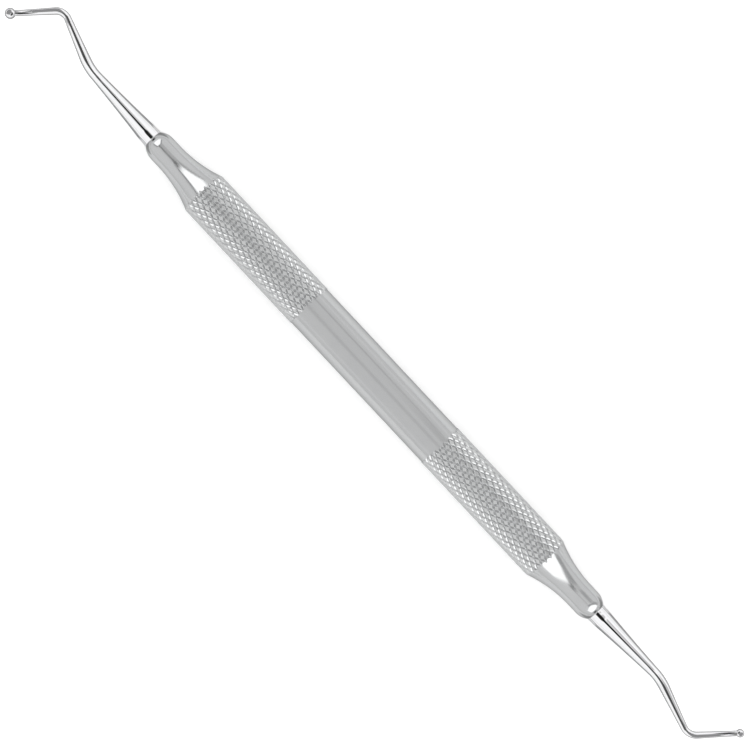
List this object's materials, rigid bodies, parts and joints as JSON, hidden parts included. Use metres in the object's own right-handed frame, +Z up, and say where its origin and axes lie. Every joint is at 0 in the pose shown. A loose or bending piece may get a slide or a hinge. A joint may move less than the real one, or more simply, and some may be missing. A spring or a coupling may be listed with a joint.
{
  "type": "dental burnisher",
  "caption": "Slim steel hand instrument: hollow handle with knurled grips and, at each end, a bent tapered shank carrying a small polished ball.",
  "frame": {"origin": "middle of the handle's length, on the handle's axis", "axes": "+X along the handle towards the larger ball; both shanks are bent in the XY plane; +Z up, square to that plane, as the instrument is laid flat"},
  "size_m": [0.1688, 0.0085, 0.0082],
  "materials": {
    "satin_steel": "satin stainless steel, blasted and lightly brushed, with a cut diamond knurl",
    "polished_steel": "mirror-polished hardened stainless steel"
  },
  "bodies": {
    "root": {"handle": "satin_steel", "large_ball_end": "polished_steel", "small_ball_end": "polished_steel"}
  },
  "joints": []
}
